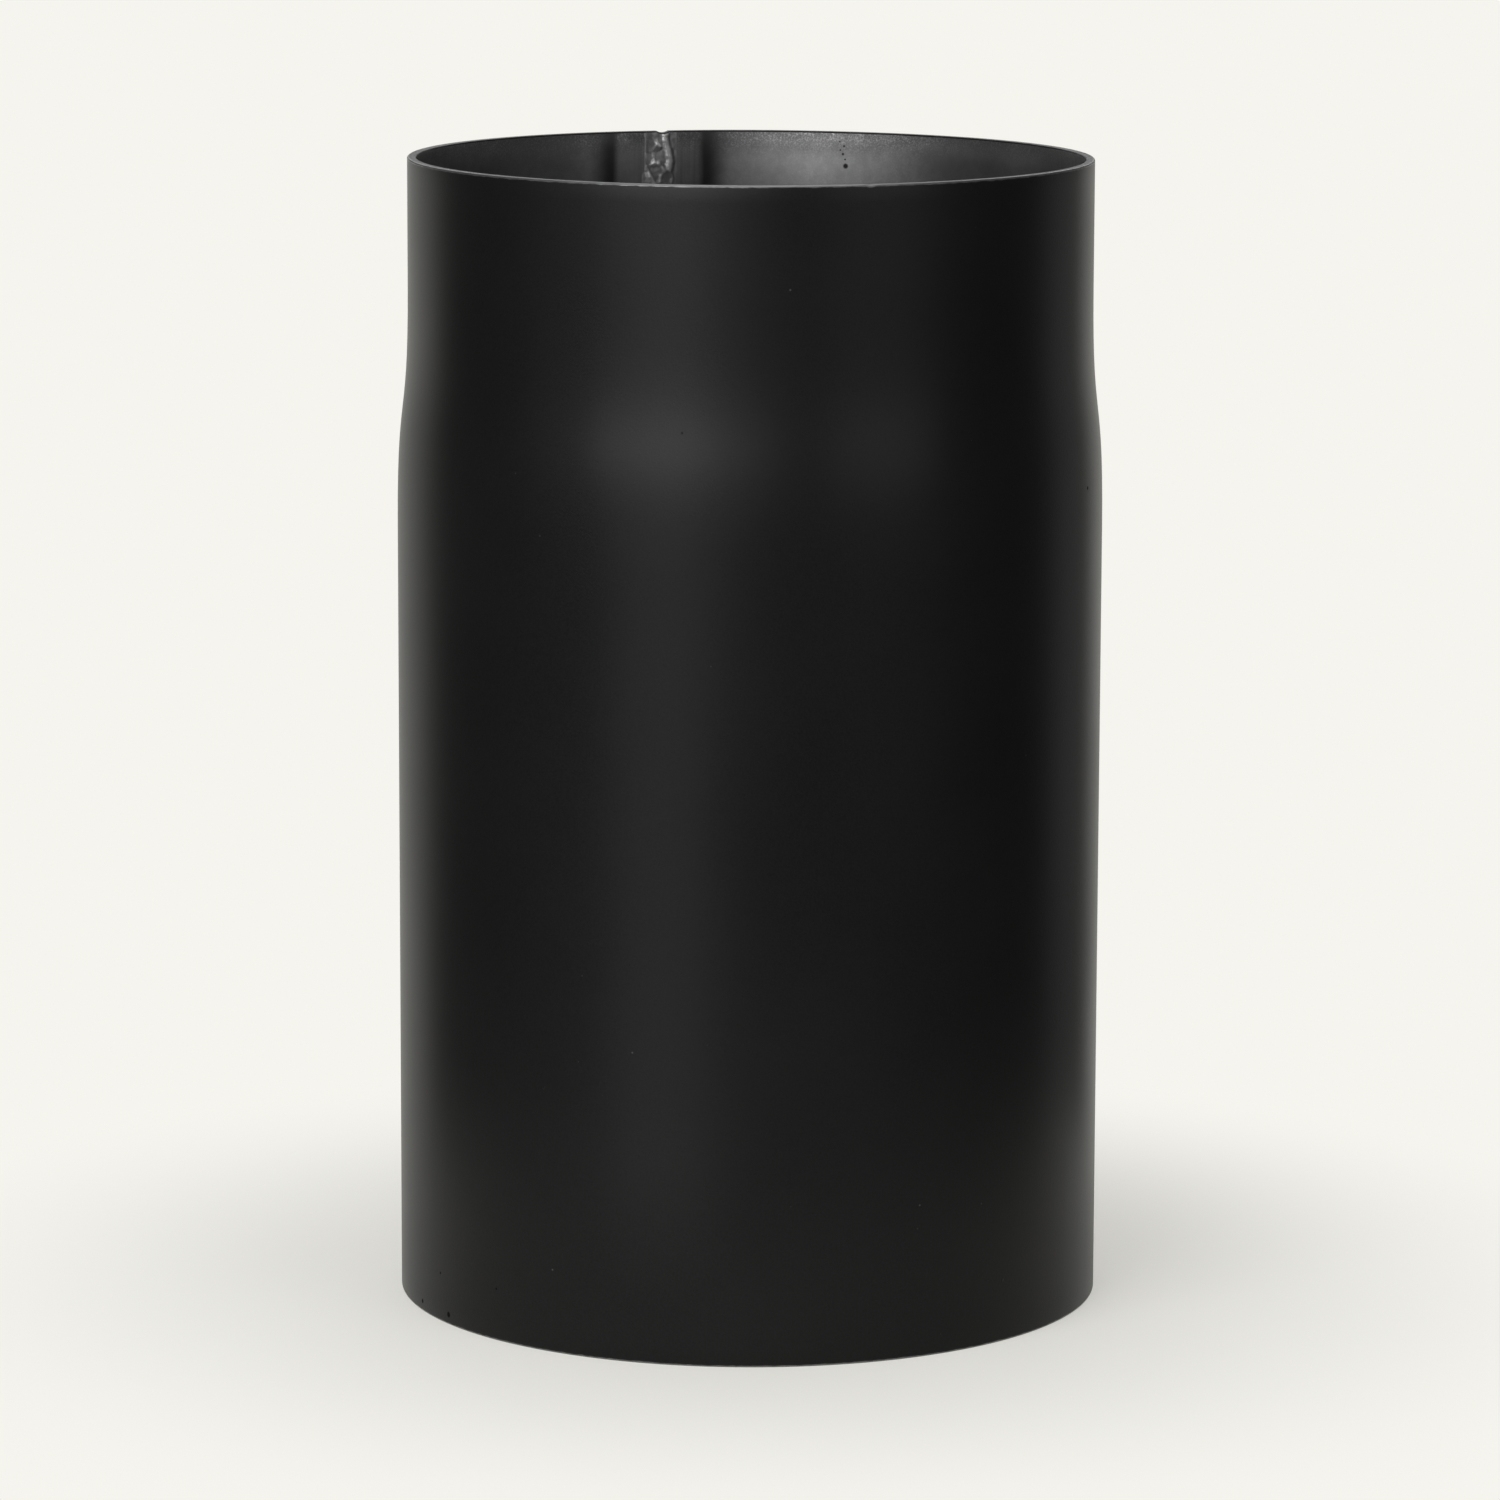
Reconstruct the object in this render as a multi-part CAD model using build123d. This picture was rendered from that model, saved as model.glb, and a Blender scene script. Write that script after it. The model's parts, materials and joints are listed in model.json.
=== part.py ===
from build123d import *
import math
import os

# Stove pipe extension: one length of rolled and seam-welded sheet steel flue pipe, in millimetres.
#
# The pipe stands on its wide end, the socket. Its top end is drawn in to a narrower spigot, which slides
# into the socket of the next pipe. The sheet keeps its thickness all the way, so the bore narrows where
# the outside does. One low weld bead runs down the inside from rim to rim, along the seam at the back.
#
# The origin is the middle of the socket's rim, with +Z up the pipe and the seam on the +Y side.

# Driving sizes of the pipe
pipe_length = 250.0        # rim to rim
socket_bore = 150.0        # inside diameter of the wide end, the pipe's nominal size
sheet_thickness = 2.0
spigot_play = 0.45         # gap all round between this spigot and a socket that it enters

# The spigot, and the shoulder below it where the pipe widens
spigot_length = 28.0       # straight stretch below the upper rim
shoulder_length = 52.0     # height over which the pipe widens
shoulder_softness = 0.6    # handles of the shoulder's curve, as a share of its height

# Both rims are cut square, and their sharp edges are broken
rim_chamfer = 0.3

# The seam, and the bead of weld inside it
seam_angle = 106.0         # degrees round from +X, towards +Y
bead_width = 6.4
bead_height = 0.3          # low enough for a spigot to pass over it
bead_root_share = 0.25     # how deep the bead's flat back lies, as a share of the sheet

# Sizes that follow
socket_radius = socket_bore / 2
pipe_radius = socket_radius + sheet_thickness
spigot_radius = socket_radius - spigot_play
spigot_foot = pipe_length - spigot_length
shoulder_foot = spigot_foot - shoulder_length
handle = shoulder_softness * shoulder_length
bead_root = bead_root_share * sheet_thickness


def sheet_line(depth):
    """The sheet's line up the XZ plane, from the lower rim to the upper, depth in from its outer face."""
    radius_low = pipe_radius - depth
    radius_high = spigot_radius - depth
    with BuildLine(Plane.XZ) as line:
        Line((radius_low, 0), (radius_low, shoulder_foot))
        Bezier(
            (radius_low, shoulder_foot),
            (radius_low, shoulder_foot + handle),
            (radius_high, spigot_foot - handle),
            (radius_high, spigot_foot),
        )
        Line((radius_high, spigot_foot), (radius_high, pipe_length))
    return line.wire()


def pipe_wall():
    """The rolled and drawn sheet: its section, with chamfered rims, turned round the pipe's axis."""
    outer = sheet_line(0)
    inner = sheet_line(sheet_thickness)
    lower_rim = Edge.make_line(outer @ 0, inner @ 0)
    upper_rim = Edge.make_line(outer @ 1, inner @ 1)
    section = make_face(outer.edges() + inner.edges() + [lower_rim, upper_rim])
    corners_by_height = section.vertices().group_by(Axis.Z)
    section = chamfer(corners_by_height[0] + corners_by_height[-1], rim_chamfer)
    return revolve(section, Axis.Z, 360)


def weld_bead():
    """The bead of weld on the inner face, on the +X side: an arc's segment drawn along the sheet's line."""
    inner = sheet_line(sheet_thickness)
    crown = socket_radius - bead_height
    half_width = bead_width / 2
    wall_beside_bead = math.sqrt(socket_radius**2 - half_width**2)
    rise = wall_beside_bead - crown
    crown_radius = (half_width**2 + rise**2) / (2 * rise)
    back = socket_radius + bead_root
    half_back = math.sqrt(crown_radius**2 - (crown_radius - (back - crown))**2)
    with BuildSketch(Plane.XY) as segment:
        with BuildLine():
            ThreePointArc((back, -half_back), (crown, 0), (back, half_back))
            Line((back, half_back), (back, -half_back))
        make_face()
    return sweep(segment.sketch, path=inner)


def stove_pipe():
    """The whole pipe, with its seam turned to the back."""
    return (pipe_wall() + weld_bead()).rotate(Axis.Z, seam_angle)


os.makedirs("parts", exist_ok=True)
pipe = stove_pipe()
export_step(pipe, "parts/stove_pipe.step")
print("stove_pipe: solids", len(pipe.solids()), "volume", round(pipe.volume), "mm3")
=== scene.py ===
import json
import math
import random

import bpy
from mathutils import Matrix, Vector, noise


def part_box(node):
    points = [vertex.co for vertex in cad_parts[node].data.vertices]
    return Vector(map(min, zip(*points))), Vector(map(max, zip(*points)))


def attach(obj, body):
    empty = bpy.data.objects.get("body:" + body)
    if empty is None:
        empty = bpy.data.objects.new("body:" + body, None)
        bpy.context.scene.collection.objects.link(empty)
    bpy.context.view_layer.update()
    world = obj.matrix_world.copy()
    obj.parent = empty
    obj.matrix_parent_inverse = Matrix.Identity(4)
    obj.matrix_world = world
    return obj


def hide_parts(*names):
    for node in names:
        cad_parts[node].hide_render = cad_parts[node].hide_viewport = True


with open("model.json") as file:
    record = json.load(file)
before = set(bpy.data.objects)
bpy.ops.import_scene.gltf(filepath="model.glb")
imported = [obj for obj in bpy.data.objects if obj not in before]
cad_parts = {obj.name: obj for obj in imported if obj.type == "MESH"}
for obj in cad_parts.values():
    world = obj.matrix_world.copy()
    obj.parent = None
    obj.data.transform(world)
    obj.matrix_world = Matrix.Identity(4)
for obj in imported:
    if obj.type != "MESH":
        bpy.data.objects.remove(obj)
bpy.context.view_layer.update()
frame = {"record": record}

# A black stove pipe extension: one length of rolled, welded and drawn sheet steel.
# The script's unit is the metre, and small sizes are written as so many millimetres.

MM = 0.001

# Driving sizes, from the frame
mounts = {mount["name"]: mount["dims"] for mount in frame["record"]["mounts"]}
box_low, box_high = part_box("stove_pipe")
pipe_length = box_high.z
pipe_radius = min(box_high.x, box_high.y, -box_low.x, -box_low.y)
sheet_thickness = pipe_radius - mounts["socket"]["r_mm"] * MM
spigot_radius = mounts["spigot"]["r_mm"] * MM

# The spigot, the shoulder below it, and the rounded edges of both rims
spigot_length = 28 * MM
shoulder_length = 52 * MM
shoulder_softness = 0.6    # handles of the shoulder's curve, as a share of its height
rim_round = 0.35 * MM
shoulder_top = pipe_length - spigot_length
shoulder_foot = shoulder_top - shoulder_length

# The seam at the back, as an angle round from +X towards +Y, and the strip of fine mesh that holds its weld
seam_angle = math.radians(106)
strip_half_width = 8 * MM
strip_columns = 64
strip_rows_per_row = 8

# The mesh away from the seam
wall_columns = 232
socket_rows = 42
shoulder_rows = 14
spigot_rows = 8
rim_corner_rows = 4
nick_columns = 8

# What rolling, drawing and cutting leave: a slightly oval wall that is flatter beside the seam, and an upper
# rim that dips a little at one side
oval_depth = 0.12 * MM
oval_angle = math.radians(25)
seam_flat_depth = 0.2 * MM
seam_flat_half_width = 11 * MM
dip_depth = 0.2 * MM
dip_angle = math.radians(48)
dip_reach = 30 * MM
dip_sharpness = 3

# Nicks in the upper rim: (angle, half width, depth). The first is where the weld ends.
rim_nicks = [
    (seam_angle, 1.5 * MM, 0.4 * MM),
    (math.radians(-70.6), 1.2 * MM, 0.14 * MM),
]
nick_reach = 2 * MM        # how far down the wall follows a nick

# The track of heat from welding lies a little to one side of the seam
heat_offset = 1.2 * MM


def smooth_step(low, high, value):
    """0 below low and 1 above high, with a soft rise between them."""
    share = min(max((value - low) / (high - low), 0.0), 1.0)
    return share * share * (3 - 2 * share)


def facing(angle):
    """1 at an angle of 0, falling softly to 0 half a turn away."""
    return 0.5 + 0.5 * math.cos(angle)


def angle_between(first, second):
    """The angle from the second direction to the first, within half a turn either way."""
    return (first - second + math.pi) % math.tau - math.pi


# The weld: a low, uneven bead on the inside, with its sizes in millimetres. Across is from the seam, towards
# larger angles, and up is from the lower rim.
bead_half_width = 3.2
bead_crown = 0.3
bead_lean = 0.7            # how far across from the seam its middle lies
ripple_pitch = 1.6
ripple_depth = 0.035
ripple_curl = 0.45         # how far a ripple's ends trail below its middle, as a share of the half width
toe_place = 0.95           # where the ridges along its edges lie and how far they reach, as such shares
toe_reach = 0.3
toe_rise = 0.14

# How the bead changes along its length: by how much, and over how many millimetres
bead_sway = 0.35
sway_length = 14
width_change = 0.15
width_length = 7
crown_change = 0.5
crown_length = 2.6
crown_breadth = 2.2
toe_share = 0.6
toe_change = 1.2
toe_length = 3.5

# The slices of noise that these changes follow, so that no two are alike
sway_slice = 3.1
width_slice = 5.7
crown_slice = 9.2
toe_slice = 4

# Folds of the weld's metal just under the upper rim: (points along the fold, half width, rise). A point is
# (across, up).
top_folds_from = 236.5
top_folds = [
    ([(-0.5, 249.4), (-0.6, 247.9), (-1.2, 245.6), (-1.6, 243.4), (-1.4, 241.5)], 1.15, 0.36),
    ([(1.3, 247.1), (0.8, 246.6)], 0.6, 0.24),
    ([(1.6, 247.4), (2.2, 245.8), (2.4, 244.2), (2.1, 243.3)], 0.5, 0.11),
    ([(2.5, 242.6), (1.3, 242.8)], 0.85, 0.28),
    ([(1.0, 242.5), (0.3, 241.8), (-0.3, 240.7)], 0.6, 0.28),
    ([(3.8, 241.3), (3.1, 239.9), (2.3, 238.2), (1.9, 237.0)], 0.7, 0.28),
    ([(3.8, 239.4), (3.5, 236.8)], 1.5, 0.18),
    ([(-1.5, 240.8), (-2.3, 239.3), (-1.8, 238.0)], 0.5, 0.18),
    ([(3.9, 248.5), (4.0, 244.5), (4.0, 242.0)], 0.45, 0.12),
    ([(0.6, 240.0), (0.9, 238.4)], 0.55, 0.18),
]
fold_sharpness = 1.5

# The folds and pits scattered along the rest of the bead, and the drops of spatter beside it
fold_seed = 15
fold_count = 90
fold_spread = 1.3
fold_bends = (0, 1, 2, 3)
fold_half_widths = (0.5, 1.1)
fold_rises = (-0.16, 0.2, 0.28, 0.36)
bend_spread = 0.7
bend_drops = (0.6, 1.8)
spatter_count = 12
spatter_sides = (-1, 1)
spatter_distances = (4.6, 7)
spatter_half_widths = (0.3, 0.5)
spatter_rise = 0.14


def scatter_folds():
    """Folds and pits along the rest of the bead, and spatter beside it, listed as the top folds are."""
    dice = random.Random(fold_seed)
    folds = []
    for _ in range(fold_count):
        across = bead_lean + dice.gauss(0, fold_spread)
        up = dice.uniform(0, top_folds_from)
        points = [(across, up)]
        for _ in range(dice.choice(fold_bends)):
            across += dice.gauss(0, bend_spread)
            up -= dice.uniform(*bend_drops)
            points.append((across, up))
        folds.append((points, dice.uniform(*fold_half_widths), dice.choice(fold_rises)))
    for _ in range(spatter_count):
        across = dice.choice(spatter_sides) * dice.uniform(*spatter_distances)
        up = dice.uniform(0, top_folds_from)
        folds.append(([(across, up)], dice.uniform(*spatter_half_widths), spatter_rise))
    return folds


def put_on_shelves(folds, shelf_height):
    """The folds by the shelves that they reach into, so that a point looks only at those near it."""
    shelves = {}
    for fold in folds:
        points, half_width, _ = fold
        heights = [up for _, up in points]
        lowest = math.floor((min(heights) - half_width) / shelf_height)
        highest = math.floor((max(heights) + half_width) / shelf_height)
        for shelf in range(lowest, highest + 1):
            shelves.setdefault(shelf, []).append(fold)
    return shelves


fold_shelf = 4
folds_by_shelf = put_on_shelves(top_folds + scatter_folds(), fold_shelf)


def distance_to_line(across, up, points):
    """The distance to the nearest point of a line through those points."""
    place = Vector((across, up))
    nearest = (place - Vector(points[0])).length
    for start, end in zip(points, points[1:]):
        start, run = Vector(start), Vector(end) - Vector(start)
        share = min(max((place - start).dot(run) / run.length_squared, 0), 1)
        nearest = min(nearest, (place - start - run * share).length)
    return nearest


def bead_rise(across, up):
    """How far the weld stands off the inner face at that place, all in millimetres."""
    centre = bead_lean + bead_sway * noise.noise(Vector((up / sway_length, sway_slice, 0)))
    widening = noise.noise(Vector((up / width_length, 0, width_slice)))
    half_width = bead_half_width * (1 + width_change * widening)
    share = (across - centre) / half_width
    rise = 0.0
    if abs(share) < 1:
        arch = 1 - share * share
        lump = noise.noise(Vector((across / crown_breadth, up / crown_length, crown_slice)))
        crown = bead_crown * (1 + crown_change * lump)
        trail = half_width * ripple_curl * share * share
        ripple = math.cos(math.tau * (up + trail) / ripple_pitch)
        rise += (crown + ripple_depth * ripple) * arch
    toe = 1 - ((abs(share) - toe_place) / toe_reach) ** 2
    if toe > 0:
        swell = noise.noise(Vector((up / toe_length, math.copysign(toe_slice, share), 0)))
        rise += toe_rise * toe * toe * max(toe_share + toe_change * swell, 0)
    for points, fold_half_width, height in folds_by_shelf.get(math.floor(up / fold_shelf), []):
        away = (distance_to_line(across, up, points) / fold_half_width) ** 2
        if away < 1:
            rise += height * (1 - away) ** fold_sharpness
    return max(rise, 0.0)


def sheet_point(share, depth):
    """(radius, height) on the sheet, depth in from its outer face. The share runs to 1 up the socket, to 2 up
    the shoulder and to 3 up the spigot."""
    low, high = pipe_radius - depth, spigot_radius - depth
    if share <= 1:
        return low, rim_round + share * (shoulder_foot - rim_round)
    if share >= 2:
        return high, shoulder_top + (share - 2) * (spigot_length - rim_round)
    t = share - 1
    weights = ((1 - t) ** 3, 3 * t * (1 - t) ** 2, 3 * t * t * (1 - t), t**3)
    handle = shoulder_softness * shoulder_length
    heights = (0, handle, shoulder_length - handle, shoulder_length)
    radius = low * (weights[0] + weights[1]) + high * (weights[2] + weights[3])
    return radius, shoulder_foot + sum(weight * height for weight, height in zip(weights, heights))


def outer_radius(height):
    """The outer face's radius at that height, found by halving the range of shares that holds it."""
    low, high = 0.0, 3.0
    halvings = 24
    for _ in range(halvings):
        middle = (low + high) / 2
        if sheet_point(middle, 0)[1] < height:
            low = middle
        else:
            high = middle
    return sheet_point(low, 0)[0]


def rim_corner(radius, height, start):
    """A rim's rounded corner about that centre: a quarter turn on from the start angle, without its first
    point."""
    corner = []
    for row in range(1, rim_corner_rows + 1):
        angle = start + math.pi / 2 * row / rim_corner_rows
        corner.append((radius + rim_round * math.cos(angle), height + rim_round * math.sin(angle)))
    return corner


def section_rows():
    """The wall's section as a ring of rows, each (radius, height, share): up the outer face, over the upper
    rim, down the inner face and under the lower rim. The share is None off the inner face."""
    shares = [row / socket_rows for row in range(socket_rows)]
    shares += [1 + row / shoulder_rows for row in range(shoulder_rows)]
    shares += [2 + row / spigot_rows for row in range(spigot_rows + 1)]
    top = pipe_length - rim_round
    outer = [(*sheet_point(share, 0), None) for share in shares]
    inner = [(*sheet_point(share, sheet_thickness), share) for share in reversed(shares)]
    upper = rim_corner(spigot_radius - rim_round, top, 0)
    # The inner corners start with their first point, which ends the flat of the rim
    inner_centre = spigot_radius - sheet_thickness + rim_round
    upper.append((inner_centre, pipe_length))
    upper += rim_corner(inner_centre, top, math.pi / 2)[:-1]
    lower_centre = pipe_radius - sheet_thickness + rim_round
    lower = rim_corner(lower_centre, rim_round, math.pi)
    lower.append((pipe_radius - rim_round, 0))
    lower += rim_corner(pipe_radius - rim_round, rim_round, 1.5 * math.pi)[:-1]
    return outer + [(*point, None) for point in upper] + inner + [(*point, None) for point in lower]


def column_angles():
    """The angles of the mesh's columns, from the strip's first edge all the way round."""
    half = strip_half_width / (pipe_radius - sheet_thickness)
    strip = [seam_angle + half * (2 * column / strip_columns - 1) for column in range(strip_columns + 1)]
    rest = math.tau - 2 * half
    wall = [strip[-1] + rest * column / wall_columns for column in range(1, wall_columns)]
    for angle, half_width, _ in rim_nicks[1:]:
        turned = strip[-1] + (angle - strip[-1]) % math.tau
        step = 2 * half_width / pipe_radius / nick_columns
        wall += [turned + step * (column - nick_columns / 2) for column in range(nick_columns + 1)]
    return strip + sorted(wall)


def wall_place(radius, height, angle):
    """A point of the wall with the marks of its making: oval, flat at the seam, and dipped and nicked at the
    upper rim."""
    across = abs(angle_between(angle, seam_angle)) * pipe_radius
    radius -= oval_depth * facing(2 * (angle - oval_angle))
    radius -= seam_flat_depth * (1 - smooth_step(0, seam_flat_half_width, across))
    dip = dip_depth * facing(angle - dip_angle) ** dip_sharpness
    lowered = dip * smooth_step(pipe_length - dip_reach, pipe_length, height)
    near_rim = smooth_step(pipe_length - nick_reach, pipe_length, height)
    for nick_angle, half_width, depth in rim_nicks:
        share = angle_between(angle, nick_angle) * pipe_radius / half_width
        if abs(share) < 1:
            lowered += depth * (1 - share * share) * near_rim
    return Vector((radius * math.cos(angle), radius * math.sin(angle), height - lowered))


def lay_points(rows, angles):
    """The mesh's points, the measures that the finishes need of each, and the points' numbers: in a grid of
    rows, and in the strip's finer rows, which follow a row of the inner face."""
    points = []
    measures = {"rim_distance": [], "edge_distance": [], "heat_distance": [], "weld_rise": []}

    def add(radius, height, angle, on_weld):
        away = angle_between(angle, seam_angle) * radius
        rise = bead_rise(away / MM, height / MM) * MM if on_weld else 0.0
        to_upper_edge = math.hypot(spigot_radius - radius, pipe_length - height)
        to_lower_edge = math.hypot(pipe_radius - radius, height)
        measures["rim_distance"].append(min(height, pipe_length - height))
        measures["edge_distance"].append(min(to_upper_edge, to_lower_edge))
        measures["heat_distance"].append(abs(away - heat_offset))
        measures["weld_rise"].append(rise)
        points.append(wall_place(radius - rise, height, angle))
        return len(points) - 1

    grid = []
    for radius, height, share in rows:
        row = []
        for column, angle in enumerate(angles):
            on_weld = share is not None and 0 < column < strip_columns
            row.append(add(radius, height, angle, on_weld))
        grid.append(row)

    finer_rows = {}
    for index, (_, _, share) in enumerate(rows):
        next_share = rows[(index + 1) % len(rows)][2]
        if share is None or next_share is None:
            continue
        finer_rows[index] = []
        for step in range(1, strip_rows_per_row):
            part = share + (next_share - share) * step / strip_rows_per_row
            radius, height = sheet_point(part, sheet_thickness)
            row = []
            for column in range(strip_columns + 1):
                row.append(add(radius, height, angles[column], 0 < column < strip_columns))
            finer_rows[index].append(row)
    return points, measures, grid, finer_rows


def lay_faces(grid, finer_rows, weld_rises):
    """The mesh's faces, and the number of each one's finish."""
    paint, steel, weld = range(3)
    columns = len(grid[0])
    faces, face_finishes = [], []
    for index, here in enumerate(grid):
        above = grid[(index + 1) % len(grid)]
        fine = finer_rows.get(index)
        for column in range(columns):
            following = (column + 1) % columns
            if fine and column < strip_columns:
                ladder = [here, *fine, above]
                for low, high in zip(ladder, ladder[1:]):
                    face = (low[column], low[following], high[following], high[column])
                    is_weld = min(weld_rises[corner] for corner in face) > 0
                    faces.append(face)
                    face_finishes.append(weld if is_weld else steel)
                continue
            face = [here[column], here[following], above[following], above[column]]
            # The columns beside the strip take its finer points on their shared edge
            if fine and column == strip_columns:
                face[4:] = [row[strip_columns] for row in reversed(fine)]
            if fine and following == 0:
                face[2:2] = [row[0] for row in fine]
            faces.append(face)
            face_finishes.append(steel if fine else paint)
    return faces, face_finishes


def build_pipe(finishes):
    """The whole pipe as one closed mesh. The finishes are the outer paint, the inner steel and the weld."""
    points, measures, grid, finer_rows = lay_points(section_rows(), column_angles())
    faces, face_finishes = lay_faces(grid, finer_rows, measures["weld_rise"])
    mesh = bpy.data.meshes.new("pipe_wall")
    mesh.from_pydata(points, [], faces)
    mesh.polygons.foreach_set("material_index", face_finishes)
    mesh.shade_smooth()
    for name, values in measures.items():
        mesh.attributes.new(name, "FLOAT", "POINT").data.foreach_set("value", values)
    for finish in finishes:
        mesh.materials.append(finish)
    mesh.validate()
    pipe = bpy.data.objects.new("pipe_wall", mesh)
    bpy.context.scene.collection.objects.link(pipe)
    return pipe


# Shader helpers


def add_node(tree, kind, inputs=None, **settings):
    """A shader node of that kind. Its inputs are values, or sockets of other nodes to link from."""
    node = tree.nodes.new("ShaderNode" + kind)
    for name, value in settings.items():
        setattr(node, name, value)
    for name, value in (inputs or {}).items():
        if isinstance(value, bpy.types.NodeSocket):
            tree.links.new(value, node.inputs[name])
        else:
            node.inputs[name].default_value = value
    return node


def calculate(tree, operation, first, second):
    """The result of a Math node."""
    return add_node(tree, "Math", {0: first, 1: second}, operation=operation).outputs[0]


def ramp(tree, value, low, high, to_low=0.0, to_high=1.0):
    """The value eased from low to high onto another range."""
    inputs = {"Value": value, "From Min": low, "From Max": high, "To Min": to_low, "To Max": to_high}
    return add_node(tree, "MapRange", inputs, interpolation_type="SMOOTHSTEP").outputs["Result"]


def fade(tree, value, low, high, full=1.0):
    """Full where the value is under low, eased down to 0 at high."""
    return ramp(tree, value, low, high, full, 0.0)


def blend_colours(tree, share, first, second):
    """The first colour where the share is 0 and the second where it is 1."""
    return add_node(tree, "Mix", {0: share, 6: first, 7: second}, data_type="RGBA").outputs[2]


def blend_values(tree, share, first, second):
    """The first value where the share is 0 and the second where it is 1."""
    return add_node(tree, "Mix", {0: share, 2: first, 3: second}).outputs[0]


def bump(tree, height, distance, under=None):
    """A Bump node's normal, over another's if given."""
    inputs = {"Height": height, "Distance": distance, "Strength": 1.0}
    if under:
        inputs["Normal"] = under
    return add_node(tree, "Bump", inputs).outputs["Normal"]


def new_group(name, inputs, output):
    """A shader node group with those named number inputs and that output, and its two end nodes."""
    group = bpy.data.node_groups.new(name, "ShaderNodeTree")
    for label, value in inputs.items():
        socket = group.interface.new_socket(name=label, in_out="INPUT", socket_type="NodeSocketFloat")
        socket.default_value = value
    group.interface.new_socket(name=output, in_out="OUTPUT", socket_type="NodeSocketFloat")
    return group, group.nodes.new("NodeGroupInput"), group.nodes.new("NodeGroupOutput")


def place_group(tree, group, output, **inputs):
    """The named output of a group placed in the tree. An input's name has its spaces as underscores."""
    node = tree.nodes.new("ShaderNodeGroup")
    node.node_tree = group
    for name, value in inputs.items():
        socket = node.inputs[name.replace("_", " ").title()]
        if isinstance(value, bpy.types.NodeSocket):
            tree.links.new(value, socket)
        else:
            socket.default_value = value
    return node.outputs[output]


def own_place(tree):
    """The place in the piece's own coordinates."""
    return add_node(tree, "TexCoord").outputs["Object"]


def surface_noise(tree, size, detail):
    """Noise over the surface, with patches of that size."""
    inputs = {"Vector": own_place(tree), "Scale": calculate(tree, "DIVIDE", 1.0, size), "Detail": detail}
    return add_node(tree, "TexNoise", inputs).outputs["Fac"]


def measure(tree, name):
    """One of the measures that the mesh holds for each of its points."""
    return add_node(tree, "Attribute", attribute_name=name).outputs["Fac"]


def grey(level):
    """A neutral colour."""
    return (level, level, level, 1)


# Effects that the finishes share


def cloud_group():
    """Slow, soft changes over the surface, from 0 to 1."""
    group, start, end = new_group("clouding", {"Patch Size": 30 * MM, "Contrast": 2.0}, "Cloud")
    patches = surface_noise(group, start.outputs["Patch Size"], detail=3.0)
    centred = calculate(group, "SUBTRACT", patches, 0.5)
    spread = calculate(group, "MULTIPLY", centred, start.outputs["Contrast"])
    cloud = add_node(group, "Math", {0: spread, 1: 0.5}, operation="ADD", use_clamp=True).outputs[0]
    group.links.new(cloud, end.inputs["Cloud"])
    return group


def grain_group():
    """The fine grain of a sprayed film, as a height."""
    droplet_share = -0.35
    group, start, end = new_group("spray_grain", {"Grain Size": 0.5 * MM}, "Grain")
    soft = surface_noise(group, start.outputs["Grain Size"], detail=3.0)
    scale = calculate(group, "DIVIDE", 1.0, start.outputs["Grain Size"])
    cells = add_node(group, "TexVoronoi", {"Vector": own_place(group), "Scale": scale})
    droplets = calculate(group, "MULTIPLY", cells.outputs["Distance"], droplet_share)
    grain = calculate(group, "ADD", soft, droplets)
    group.links.new(grain, end.inputs["Grain"])
    return group


def speck_group():
    """Sparse small round specks. The share is how many of the cells hold one."""
    inputs = {"Spacing": 8 * MM, "Speck Size": 0.3 * MM, "Share": 0.3}
    core_share = 0.5
    group, start, end = new_group("specks", inputs, "Speck")
    scale = calculate(group, "DIVIDE", 1.0, start.outputs["Spacing"])
    cells = add_node(group, "TexVoronoi", {"Vector": own_place(group), "Scale": scale})
    chance = add_node(group, "SeparateColor", {"Color": cells.outputs["Color"]})
    distance = calculate(group, "MULTIPLY", cells.outputs["Distance"], start.outputs["Spacing"])
    own_size = calculate(group, "MULTIPLY", start.outputs["Speck Size"], chance.outputs["Green"])
    core = calculate(group, "MULTIPLY", own_size, core_share)
    dot = fade(group, distance, core, own_size)
    chosen = calculate(group, "LESS_THAN", chance.outputs["Red"], start.outputs["Share"])
    group.links.new(calculate(group, "MULTIPLY", dot, chosen), end.inputs["Speck"])
    return group


def spot_group():
    """One round spot with a soft edge, centred on a place in the piece's own coordinates."""
    inputs = {"Centre X": 0.0, "Centre Y": 0.0, "Centre Z": 0.0, "Radius": 0.3 * MM}
    core_share = 0.6
    edge_share = 1.3
    group, start, end = new_group("round_spot", inputs, "Spot")
    ends = start.outputs
    centre = add_node(group, "CombineXYZ", {0: ends["Centre X"], 1: ends["Centre Y"], 2: ends["Centre Z"]})
    points = {0: own_place(group), 1: centre.outputs[0]}
    distance = add_node(group, "VectorMath", points, operation="DISTANCE").outputs["Value"]
    core = calculate(group, "MULTIPLY", ends["Radius"], core_share)
    edge = calculate(group, "MULTIPLY", ends["Radius"], edge_share)
    group.links.new(fade(group, distance, core, edge), end.inputs["Spot"])
    return group


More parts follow.
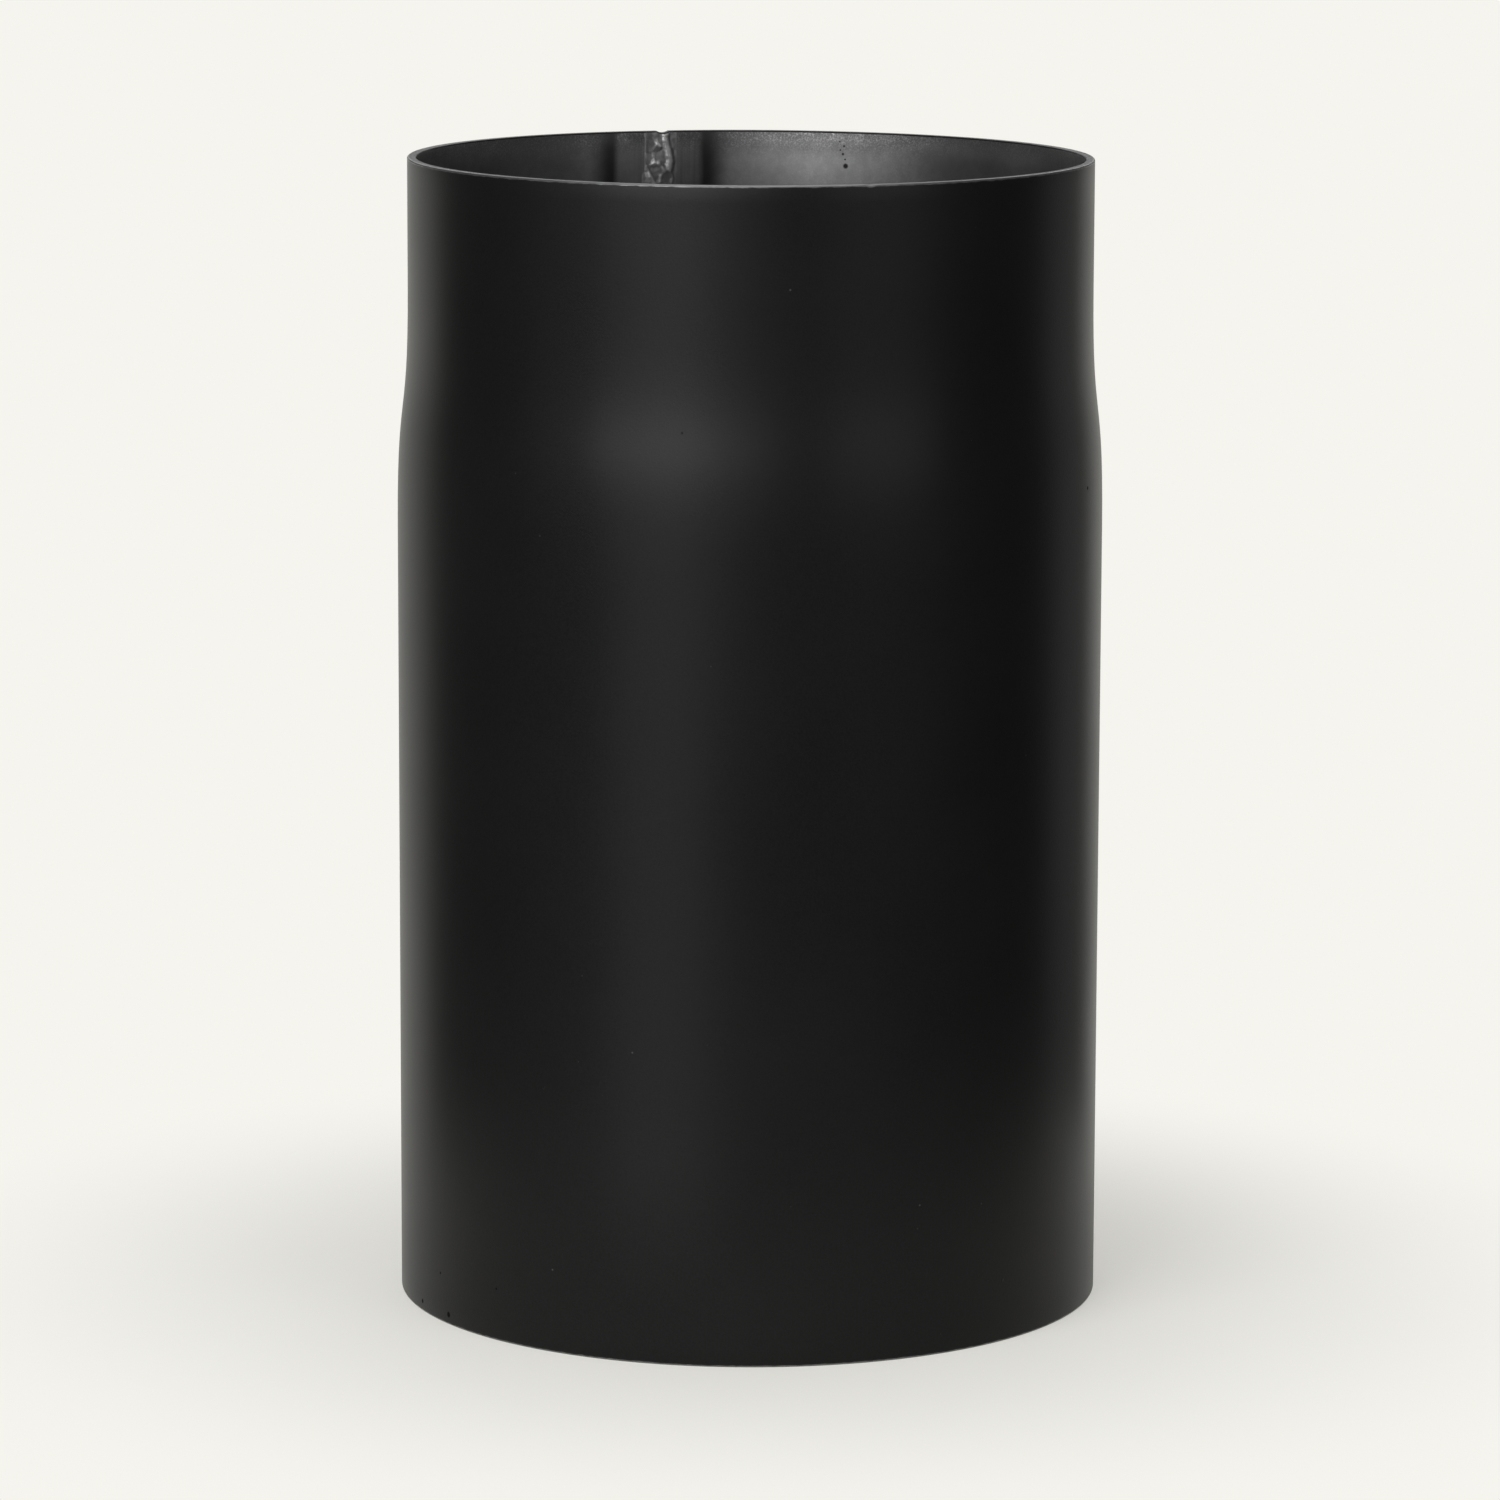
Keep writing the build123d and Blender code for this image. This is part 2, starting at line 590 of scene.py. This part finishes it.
def run_group():
    """Marks that run up and down the pipe, as rolling and brushing leave them."""
    inputs = {"Mark Width": 0.6 * MM, "Stretch": 0.04}
    group, start, end = new_group("run_marks", inputs, "Mark")
    place = add_node(group, "SeparateXYZ", {0: own_place(group)})
    short = calculate(group, "MULTIPLY", place.outputs["Z"], start.outputs["Stretch"])
    squeezed = add_node(group, "CombineXYZ", {0: place.outputs["X"], 1: place.outputs["Y"], 2: short})
    scale = calculate(group, "DIVIDE", 1.0, start.outputs["Mark Width"])
    inputs = {"Vector": squeezed.outputs[0], "Scale": scale, "Detail": 3.0}
    group.links.new(add_node(group, "TexNoise", inputs).outputs["Fac"], end.inputs["Mark"])
    return group


def heat_band_group():
    """A band along each side of the weld's heat track, with wandering edges."""
    inputs = {
        "Inner Edge": 0.0,
        "Outer Edge": 5 * MM,
        "Inner Blur": 1 * MM,
        "Outer Blur": 1 * MM,
        "Wander": 1 * MM,
    }
    wander_length = 12 * MM
    group, start, end = new_group("heat_band", inputs, "Band")
    sway = calculate(group, "SUBTRACT", surface_noise(group, wander_length, detail=2.0), 0.5)
    wander = calculate(group, "MULTIPLY", sway, start.outputs["Wander"])
    distance = calculate(group, "ADD", measure(group, "heat_distance"), wander)
    inner_end = calculate(group, "ADD", start.outputs["Inner Edge"], start.outputs["Inner Blur"])
    outer_end = calculate(group, "ADD", start.outputs["Outer Edge"], start.outputs["Outer Blur"])
    rising = ramp(group, distance, start.outputs["Inner Edge"], inner_end)
    falling = fade(group, distance, start.outputs["Outer Edge"], outer_end)
    group.links.new(calculate(group, "MULTIPLY", rising, falling), end.inputs["Band"])
    return group


def reach_group():
    """Nearness to a line: 1 on it, and 0 past a ragged edge that far from it."""
    inputs = {
        "Distance": 0.0,
        "Reach": 1 * MM,
        "Blur": 0.5 * MM,
        "Raggedness": 0.5 * MM,
        "Patch Size": 3 * MM,
    }
    group, start, end = new_group("ragged_reach", inputs, "Near")
    patches = surface_noise(group, start.outputs["Patch Size"], detail=3.0)
    sway = calculate(group, "SUBTRACT", patches, 0.5)
    raggedness = calculate(group, "MULTIPLY", sway, start.outputs["Raggedness"])
    distance = calculate(group, "ADD", start.outputs["Distance"], raggedness)
    core = calculate(group, "SUBTRACT", start.outputs["Reach"], start.outputs["Blur"])
    group.links.new(fade(group, distance, core, start.outputs["Reach"]), end.inputs["Near"])
    return group


clouding = cloud_group()
spray_grain = grain_group()
specks = speck_group()
round_spot = spot_group()
run_marks = run_group()
heat_band = heat_band_group()
ragged_reach = reach_group()


def spot_mask(tree, spots, depth):
    """1 within any of the spots, which lie that deep in from the outer face."""
    mask = 0.0
    for angle, height, radius in spots:
        out = Vector((outer_radius(height) - depth, 0, height))
        x, y, z = Matrix.Rotation(math.radians(angle), 3, "Z") @ out
        near = place_group(tree, round_spot, "Spot", centre_x=x, centre_y=y, centre_z=z, radius=radius)
        mask = calculate(tree, "MAXIMUM", near, mask)
    return mask


def new_finish(name):
    """A material with one Principled shader: its node tree and that shader."""
    material = bpy.data.materials.new(name)
    material.use_nodes = True
    tree = material.node_tree
    return material, tree, tree.nodes["Principled BSDF"]


# The paint. The greys are shares of the light that a finish throws back.
paint_black = 0.0078
deep_black = paint_black * 0.86
soft_black = paint_black * 1.12
dry_black = paint_black * 1.6
# Painted shade: the pits' darker grey stands for the dent's shade and missing sheen
pit_painted_shade = paint_black * 0.3
dust_grey = 0.06
worn_edge_grey = 0.16
dry_range = (0.1, 0.5)
dry_share = 0.35
dust_share = 0.5
worn_metal = 0.8
paint_roughness = (0.31, 0.35)
grain_roughness = 0.04
ground_polish = 0.03
pit_roughness = 0.9
paint_gloss = 0.1
paint_grain_depth = 0.016 * MM
filed_depth = 0.02 * MM
nib_depth = 0.08 * MM

# Pits and pale specks in the paint: (degrees round from +X, height, radius). The pits are real, and their
# darker grey is painted shade for the dent.
pits = [
    (-157.4, 2.2 * MM, 0.5 * MM),
    (-147.4, 2.2 * MM, 0.65 * MM),
    (-150.1, 10.7 * MM, 0.32 * MM),
    (-134.5, 11.4 * MM, 0.3 * MM),
    (-19.3, 181.1 * MM, 0.4 * MM),
    (-100.8, 198.7 * MM, 0.24 * MM),
]
pale_specks = [
    (-122.7, 18.1 * MM, 0.22 * MM),
    (-83.7, 228.5 * MM, 0.2 * MM),
    (-61.7, 33.2 * MM, 0.2 * MM),
    (-108.5, 67.2 * MM, 0.2 * MM),
]


def heat_paint():
    """Matte black heat-resistant paint, sprayed over the outer face and both rims. Under it the seam is
    ground and filed, and on the rims' outer edges it is worn through."""
    material, tree, shader = new_finish("sprayed_paint")
    cloud = place_group(tree, clouding, "Cloud", patch_size=45 * MM, contrast=2.2)
    grain = place_group(tree, spray_grain, "Grain", grain_size=0.45 * MM)
    nibs = place_group(tree, specks, "Speck", spacing=9 * MM, speck_size=0.42 * MM, share=0.22)
    dust = place_group(tree, specks, "Speck", spacing=4.5 * MM, speck_size=0.22 * MM, share=0.3)
    worn = place_group(
        tree, ragged_reach, "Near",
        distance=measure(tree, "edge_distance"),
        reach=0.5 * MM, blur=0.25 * MM, raggedness=0.4 * MM, patch_size=2 * MM,
    )
    ground = place_group(
        tree, heat_band, "Band", inner_edge=-1 * MM, outer_edge=3.2 * MM, outer_blur=1.2 * MM
    )
    pitted = spot_mask(tree, pits, 0)
    dust = calculate(tree, "MULTIPLY", dust, dust_share)
    pale = calculate(tree, "MAXIMUM", dust, spot_mask(tree, pale_specks, 0))

    colour = blend_colours(tree, cloud, grey(deep_black), grey(soft_black))
    dry = ramp(tree, grain, *dry_range, to_high=dry_share)
    colour = blend_colours(tree, dry, colour, grey(dry_black))
    colour = blend_colours(tree, pale, colour, grey(dust_grey))
    # The pits: real marks, painted darker as shade in a dent
    colour = blend_colours(tree, pitted, colour, grey(pit_painted_shade))
    colour = blend_colours(tree, worn, colour, grey(worn_edge_grey))
    tree.links.new(colour, shader.inputs["Base Color"])
    tree.links.new(calculate(tree, "MULTIPLY", worn, worn_metal), shader.inputs["Metallic"])

    roughness = blend_values(tree, cloud, *paint_roughness)
    roughness = calculate(tree, "ADD", roughness, calculate(tree, "MULTIPLY", grain, grain_roughness))
    roughness = calculate(tree, "SUBTRACT", roughness, calculate(tree, "MULTIPLY", ground, ground_polish))
    tree.links.new(blend_values(tree, pitted, roughness, pit_roughness), shader.inputs["Roughness"])

    filed = place_group(tree, run_marks, "Mark", mark_width=0.7 * MM, stretch=0.08)
    filed = calculate(tree, "MULTIPLY", filed, ground)
    film = bump(tree, grain, paint_grain_depth)
    film = bump(tree, filed, filed_depth, under=film)
    tree.links.new(bump(tree, nibs, nib_depth, under=film), shader.inputs["Normal"])
    shader.inputs["Specular IOR Level"].default_value = paint_gloss
    return material


# The bare steel inside
steel_grey = 0.23
dull_steel = steel_grey * 0.82
clear_steel = steel_grey * 1.12
mottled_steel = steel_grey * 0.7
streaked_steel = steel_grey * 0.42
burnt_black = 0.015
stain_black = 0.008
mottle_range = (0.2, 0.8)
mottle_share = 0.4
streak_range = (0.42, 0.62)
faint_streaks = 0.55
streak_share = 0.8
burnt_share = 0.92
dusting_range = (-0.2, 0.5)
overspray_share = 0.62
drift_share = 0.2
steel_roughness = (0.28, 0.31)
dusted_roughness = 0.08
steel_gloss = 0.3
rolled_depth = 0.014 * MM
steel_grain_depth = 0.005 * MM

# Dark stains on the steel: (degrees round from +X, height, radius)
stains = [
    (72.8, 242.1 * MM, 0.6 * MM),
    (72.9, 243.6 * MM, 0.22 * MM),
    (73.3, 244.8 * MM, 0.3 * MM),
    (73.8, 245.7 * MM, 0.2 * MM),
    (73.1, 246.6 * MM, 0.26 * MM),
    (73.9, 247.6 * MM, 0.2 * MM),
]


def inner_steel():
    """Bare steel sheet under a thin, broken dusting of the paint, with a dark band at each side of the
    weld."""
    material, tree, shader = new_finish("inner_steel")
    cloud = place_group(tree, clouding, "Cloud", patch_size=14 * MM, contrast=2.6)
    mottle = place_group(tree, clouding, "Cloud", patch_size=2.2 * MM, contrast=2.4)
    grain = place_group(tree, spray_grain, "Grain", grain_size=0.35 * MM)
    marks = place_group(tree, run_marks, "Mark", mark_width=1.3 * MM, stretch=0.02)
    flecks = place_group(tree, specks, "Speck", spacing=7 * MM, speck_size=0.6 * MM, share=0.08)
    to_rim = measure(tree, "rim_distance")
    overspray = place_group(
        tree, ragged_reach, "Near",
        distance=to_rim, reach=7 * MM, blur=7 * MM, raggedness=3 * MM, patch_size=16 * MM,
    )
    drift = place_group(
        tree, ragged_reach, "Near",
        distance=to_rim, reach=46 * MM, blur=38 * MM, raggedness=26 * MM, patch_size=16 * MM,
    )
    burnt = place_group(
        tree, heat_band, "Band",
        inner_edge=8.7 * MM, inner_blur=2.2 * MM, outer_edge=11.2 * MM, outer_blur=6.5 * MM, wander=1.2 * MM,
    )
    beside = place_group(
        tree, heat_band, "Band", inner_edge=-1 * MM, outer_edge=8.6 * MM, outer_blur=2.4 * MM, wander=1.2 * MM
    )
    mottled = ramp(tree, mottle, *mottle_range, to_high=mottle_share)
    streaks = ramp(tree, marks, *streak_range, to_low=faint_streaks)
    streaks = calculate(tree, "MULTIPLY", calculate(tree, "MULTIPLY", streaks, beside), streak_share)
    burnt = calculate(tree, "MULTIPLY", burnt, burnt_share)
    overspray = calculate(tree, "MULTIPLY", overspray, overspray_share)
    drift = calculate(tree, "MULTIPLY", drift, drift_share)
    dusting = ramp(tree, grain, *dusting_range)
    film = calculate(tree, "MULTIPLY", dusting, calculate(tree, "ADD", overspray, drift))

    colour = blend_colours(tree, cloud, grey(dull_steel), grey(clear_steel))
    colour = blend_colours(tree, mottled, colour, grey(mottled_steel))
    colour = blend_colours(tree, streaks, colour, grey(streaked_steel))
    colour = blend_colours(tree, burnt, colour, grey(burnt_black))
    colour = blend_colours(tree, flecks, colour, grey(burnt_black))
    colour = blend_colours(tree, spot_mask(tree, stains, sheet_thickness), colour, grey(stain_black))
    tree.links.new(blend_colours(tree, film, colour, grey(paint_black)), shader.inputs["Base Color"])
    tree.links.new(calculate(tree, "SUBTRACT", 1.0, film), shader.inputs["Metallic"])

    roughness = blend_values(tree, mottle, *steel_roughness)
    roughness = calculate(tree, "ADD", roughness, calculate(tree, "MULTIPLY", film, dusted_roughness))
    tree.links.new(roughness, shader.inputs["Roughness"])

    rolled = bump(tree, marks, rolled_depth)
    tree.links.new(bump(tree, grain, steel_grain_depth, under=rolled), shader.inputs["Normal"])
    shader.inputs["Specular IOR Level"].default_value = steel_gloss
    return material


# The weld's own metal, with a painted highlight on its lumps and painted shade on its low parts
weld_grey = 0.30
# Lit and shaded copies of the weld's grey: painted shade on the low parts, painted highlight on the lumps
shaded_low_weld = weld_grey * 0.6
highlit_proud_weld = weld_grey * 1.35
slag_grey = 0.06
slag_range = (0.8, 1.3)
proud_from = 0.2 * MM
proud_full = 0.65 * MM
slag_foot = 0.12 * MM      # slag thins out where the metal rises less than this
slag_in_hollows = 0.85
slag_on_lumps = 0.2
slag_dulling = 0.6
weld_roughness = (0.46, 0.55)
weld_skin_depth = 0.035 * MM
weld_mark_depth = 0.012 * MM


def weld_metal():
    """The bead's own metal: painted lighter on its lumps as a highlight and darker low down as shade, and
    dark with slag in its hollows.
    """
    material, tree, shader = new_finish("weld_metal")
    mottle = place_group(tree, clouding, "Cloud", patch_size=1.8 * MM, contrast=2.2)
    patches = place_group(tree, clouding, "Cloud", patch_size=6 * MM, contrast=2.4)
    pores = place_group(tree, clouding, "Cloud", patch_size=0.9 * MM, contrast=2.4)
    marks = place_group(tree, run_marks, "Mark", mark_width=0.5 * MM, stretch=0.3)
    rise = measure(tree, "weld_rise")
    proud = ramp(tree, rise, proud_from, proud_full)
    slag = ramp(tree, calculate(tree, "ADD", mottle, patches), *slag_range)
    slag = calculate(tree, "MULTIPLY", slag, blend_values(tree, proud, slag_in_hollows, slag_on_lumps))
    slag = calculate(tree, "MULTIPLY", slag, ramp(tree, rise, 0.0, slag_foot))

    # Painted shade where the bead is low, and a painted highlight where it stands proud
    colour = blend_colours(tree, proud, grey(shaded_low_weld), grey(highlit_proud_weld))
    tree.links.new(blend_colours(tree, slag, colour, grey(slag_grey)), shader.inputs["Base Color"])
    dulling = calculate(tree, "MULTIPLY", slag, slag_dulling)
    tree.links.new(calculate(tree, "SUBTRACT", 1.0, dulling), shader.inputs["Metallic"])
    tree.links.new(blend_values(tree, slag, *weld_roughness), shader.inputs["Roughness"])
    skin = bump(tree, calculate(tree, "ADD", mottle, pores), weld_skin_depth)
    tree.links.new(bump(tree, marks, weld_mark_depth, under=skin), shader.inputs["Normal"])
    return material


# The pipe

pipe = build_pipe([heat_paint(), inner_steel(), weld_metal()])
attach(pipe, "root")
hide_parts("stove_pipe")

# The studio: a pale table top that runs far back, a dim room in front, soft boxes, and the camera.
# An azimuth of 0 is the camera's side, and one of 90 is the right.

backdrop_colour = (0.914, 0.905, 0.855, 1)
room_level = 0.03

# The table top is short between these azimuths, and long past them. Near the pipe it shows the pipe's shadow.
table_radius = 0.22
table_reach = 9.0
table_fan_left = 126
table_fan_right = 143
table_step = 4
shadow_share = 0.6
shadow_near = 0.09
shadow_far = 0.22

# Reflections find the backdrop behind the pipe. It fades in between these cosines of the angle from the
# middle of the table's long side, and out up to this sine of the height.
backdrop_from = 0.64
backdrop_full = 0.8
backdrop_top = 0.12


def either(tree, first, second):
    """1 where either of two flags is 1."""
    return calculate(tree, "MAXIMUM", first, second)


def level_way(azimuth):
    """The level direction of that azimuth."""
    turn = math.radians(azimuth)
    return Vector((math.sin(turn), -math.cos(turn), 0))


def studio_tree(owner):
    """The emptied node tree of a material or a world."""
    owner.use_nodes = True
    owner.node_tree.nodes.clear()
    return owner.node_tree


def floor_finish():
    """The backdrop's colour, with the pipe's soft shadow close to it. From below it isn't seen."""
    material = bpy.data.materials.new("studio_floor")
    tree = studio_tree(material)
    lit = add_node(tree, "BsdfDiffuse", {"Color": backdrop_colour})
    plain = add_node(tree, "Emission", {"Color": backdrop_colour, "Strength": 1.0})
    distance = add_node(tree, "VectorMath", {0: own_place(tree)}, operation="LENGTH").outputs["Value"]
    shadowed = fade(tree, distance, shadow_near, shadow_far, shadow_share)
    shown = add_node(tree, "MixShader", {0: shadowed, 1: plain.outputs[0], 2: lit.outputs[0]})
    path = add_node(tree, "LightPath").outputs
    mirrored = either(tree, path["Is Glossy Ray"], path["Is Transmission Ray"])
    seen = either(tree, path["Is Camera Ray"], mirrored)
    upper = add_node(tree, "MixShader", {0: seen, 1: lit.outputs[0], 2: shown.outputs[0]})
    under = add_node(tree, "BsdfTransparent")
    side = add_node(tree, "NewGeometry").outputs["Backfacing"]
    both = add_node(tree, "MixShader", {0: side, 1: upper.outputs[0], 2: under.outputs[0]})
    add_node(tree, "OutputMaterial", {"Surface": both.outputs[0]}).is_active_output = True
    return material


def lay_floor():
    """A pale floor: a short round table top in front, which runs far back behind the pipe."""
    short = range(-table_fan_left, table_fan_right + 1, table_step)
    long = range(table_fan_right, 360 - table_fan_left + 1, table_step)
    edge = [level_way(azimuth) * table_radius for azimuth in short]
    edge += [level_way(azimuth) * table_reach for azimuth in long]
    centre = len(edge)
    faces = [(centre, index, (index + 1) % centre) for index in range(centre)]
    mesh = bpy.data.meshes.new("studio_floor")
    mesh.from_pydata([*edge, (0, 0, 0)], [], faces)
    mesh.materials.append(floor_finish())
    floor = bpy.data.objects.new("studio_floor", mesh)
    bpy.context.scene.collection.objects.link(floor)


def light_surround():
    """The backdrop's colour as the camera sees it, and as reflections find it behind the pipe. All else is a
    dim room."""
    world = bpy.data.worlds.new("studio")
    bpy.context.scene.world = world
    tree = studio_tree(world)
    direction = add_node(tree, "TexCoord").outputs["Generated"]
    fan_middle = level_way((table_fan_right + 360 - table_fan_left) / 2)
    ways = {0: direction, 1: fan_middle}
    along = add_node(tree, "VectorMath", ways, operation="DOT_PRODUCT").outputs["Value"]
    height = add_node(tree, "SeparateXYZ", {0: direction}).outputs["Z"]
    behind = ramp(tree, along, backdrop_from, backdrop_full)
    behind = calculate(tree, "MULTIPLY", behind, fade(tree, height, 0.0, backdrop_top))
    path = add_node(tree, "LightPath").outputs
    mirrored = either(tree, path["Is Glossy Ray"], path["Is Transmission Ray"])
    seen = either(tree, path["Is Camera Ray"], calculate(tree, "MULTIPLY", mirrored, behind))
    room = add_node(tree, "Background", {"Color": grey(1.0), "Strength": room_level})
    shown = add_node(tree, "Background", {"Color": backdrop_colour, "Strength": 1.0})
    both = add_node(tree, "MixShader", {0: seen, 1: room.outputs[0], 2: shown.outputs[0]})
    add_node(tree, "OutputWorld", {"Surface": both.outputs[0]}).is_active_output = True


softbox_distance = 1.5


def hang_softbox(name, azimuth, elevation, width, height, power):
    """A soft box aimed at the pipe's middle."""
    lamp = bpy.data.lights.new(name, "AREA")
    lamp.shape = "RECTANGLE"
    lamp.size = width
    lamp.size_y = height
    lamp.energy = power
    box = bpy.data.objects.new(name, lamp)
    lift = math.radians(elevation)
    back = level_way(azimuth) * math.cos(lift) + Vector((0, 0, math.sin(lift)))
    box.location = Vector((0, 0, pipe_length / 2)) + back * softbox_distance
    box.rotation_euler = back.to_track_quat("Z", "Y").to_euler()
    bpy.context.scene.collection.objects.link(box)


lay_floor()
light_surround()
hang_softbox("key_softbox", azimuth=-32, elevation=12, width=1.0, height=0.45, power=10.7)
hang_softbox("left_softbox", azimuth=-64, elevation=7, width=0.5, height=0.4, power=0.7)
hang_softbox("low_softbox", azimuth=-28, elevation=-14, width=0.8, height=0.3, power=1.8)
hang_softbox("narrow_softbox", azimuth=-25, elevation=10, width=0.3, height=0.45, power=1.1)
hang_softbox("upper_softbox", azimuth=-30, elevation=30, width=1.0, height=0.5, power=1.6)
hang_softbox("front_softbox", azimuth=-6, elevation=14, width=0.6, height=0.45, power=3.6)
hang_softbox("right_softbox", azimuth=42, elevation=9, width=0.9, height=0.35, power=2.9)
hang_softbox("side_softbox", azimuth=122, elevation=-3, width=0.5, height=0.7, power=0.6)
hang_softbox("top_softbox", azimuth=0, elevation=86, width=1.2, height=1.2, power=15)
hang_softbox("back_softbox", azimuth=180, elevation=28, width=1.0, height=0.6, power=3.5)

# The camera, as fitted to the photograph's outline of the pipe
camera_distance = 1.476
camera_height = 0.3716
camera_pitch = math.radians(9.693)
camera_roll = math.radians(0.182)
frame_pixels = 1500
focal_pixels = 6811
centre_pixel = 749.2


def set_camera():
    """A long lens in front of the pipe, a little above its upper rim."""
    data = bpy.data.cameras.new("camera")
    data.sensor_width = 36.0
    data.lens = data.sensor_width * focal_pixels / frame_pixels
    data.shift_x = (frame_pixels / 2 - centre_pixel) / frame_pixels
    data.clip_start = 0.1
    data.clip_end = 40.0
    camera = bpy.data.objects.new("camera", data)
    camera.location = (0, -camera_distance, camera_height)
    tilt = Matrix.Rotation(math.pi / 2 - camera_pitch, 3, "X")
    roll = Matrix.Rotation(camera_roll, 3, "Z")
    camera.rotation_euler = (tilt @ roll).to_euler()
    bpy.context.scene.collection.objects.link(camera)
    bpy.context.scene.camera = camera


set_camera()
bpy.context.scene.view_settings.view_transform = "Standard"
